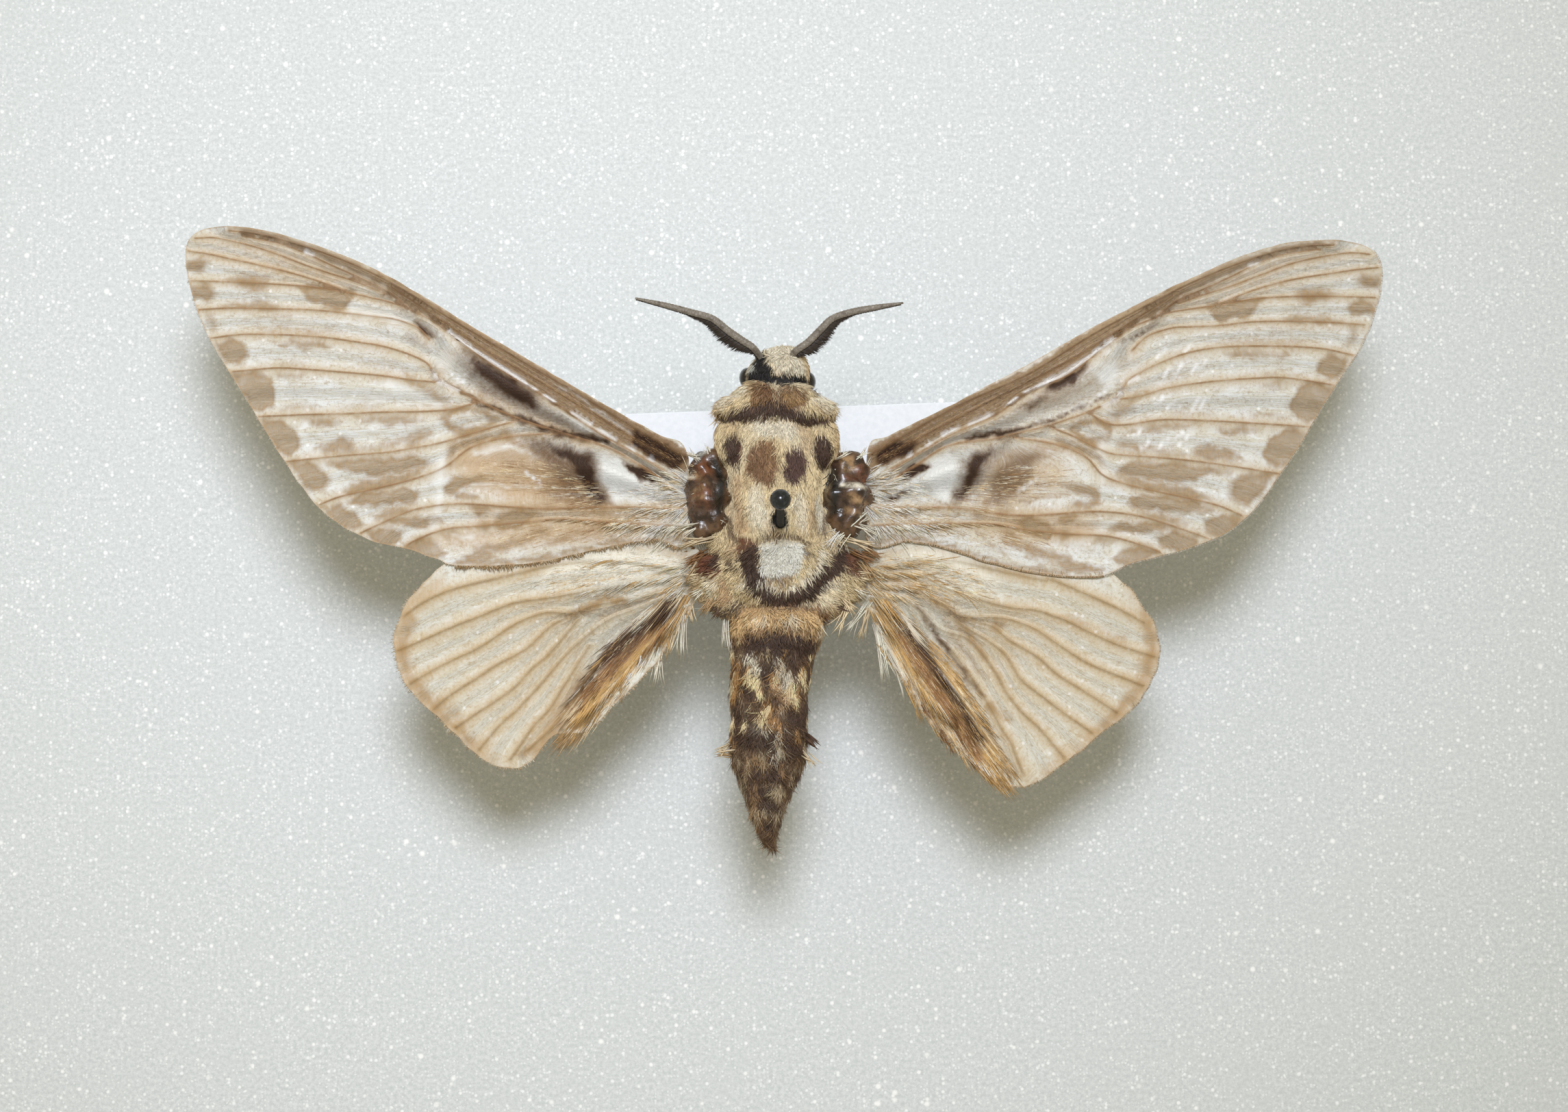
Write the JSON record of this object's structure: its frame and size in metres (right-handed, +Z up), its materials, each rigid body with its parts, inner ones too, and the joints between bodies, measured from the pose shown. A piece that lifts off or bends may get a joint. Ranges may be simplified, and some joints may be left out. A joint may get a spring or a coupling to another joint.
{
  "type": "pinned moth specimen",
  "caption": "Spread museum moth with patterned half-clear wings, woolly body and combed feelers, on a steel pin over a blank card and a pale foam board.",
  "frame": {"origin": "middle of the foam board's underside", "axes": "+Z up, the moth's back up; +Y towards its head; +X towards its right wing, along the board's long side"},
  "size_m": [0.124, 0.094, 0.0397],
  "materials": {
    "board_foam": "pale closed-cell foam with a fine glittering grain",
    "card_paper": "plain white card",
    "pin_steel": "black enamelled steel",
    "pale_wool": "cream woolly hair with dark brown spots",
    "dark_wool": "ragged dark brown hair with golden and cream clumps",
    "forewing_vane": "thin silky half-clear membrane with brown smudges and tan veins",
    "hindwing_vane": "thin cream half-clear membrane with tan veins and golden hair",
    "dark_shell": "dark red-brown horny plate",
    "eye_black": "black, glossy, finely faceted",
    "feeler_grey": "grey-brown scaled shaft with dark combs",
    "limb_brown": "dark brown, short hair"
  },
  "bodies": {
    "root": {"mount_board": "board_foam", "label_card": "card_paper", "pin": "pin_steel", "head": "pale_wool", "collar": "pale_wool", "thorax": "pale_wool", "metathorax": "pale_wool", "abdomen": "dark_wool", "palp_left": "dark_wool", "palp_right": "dark_wool", "eye_left": "eye_black", "eye_right": "eye_black", "antenna_left": "feeler_grey", "antenna_right": "feeler_grey", "tegula_left": "dark_shell", "tegula_right": "dark_shell", "forewing_left": "forewing_vane", "forewing_right": "forewing_vane", "hindwing_left": "hindwing_vane", "hindwing_right": "hindwing_vane", "foreleg_left": "limb_brown", "foreleg_right": "limb_brown", "midleg_left": "limb_brown", "midleg_right": "limb_brown", "hindleg_left": "limb_brown", "hindleg_right": "limb_brown"}
  },
  "joints": []
}
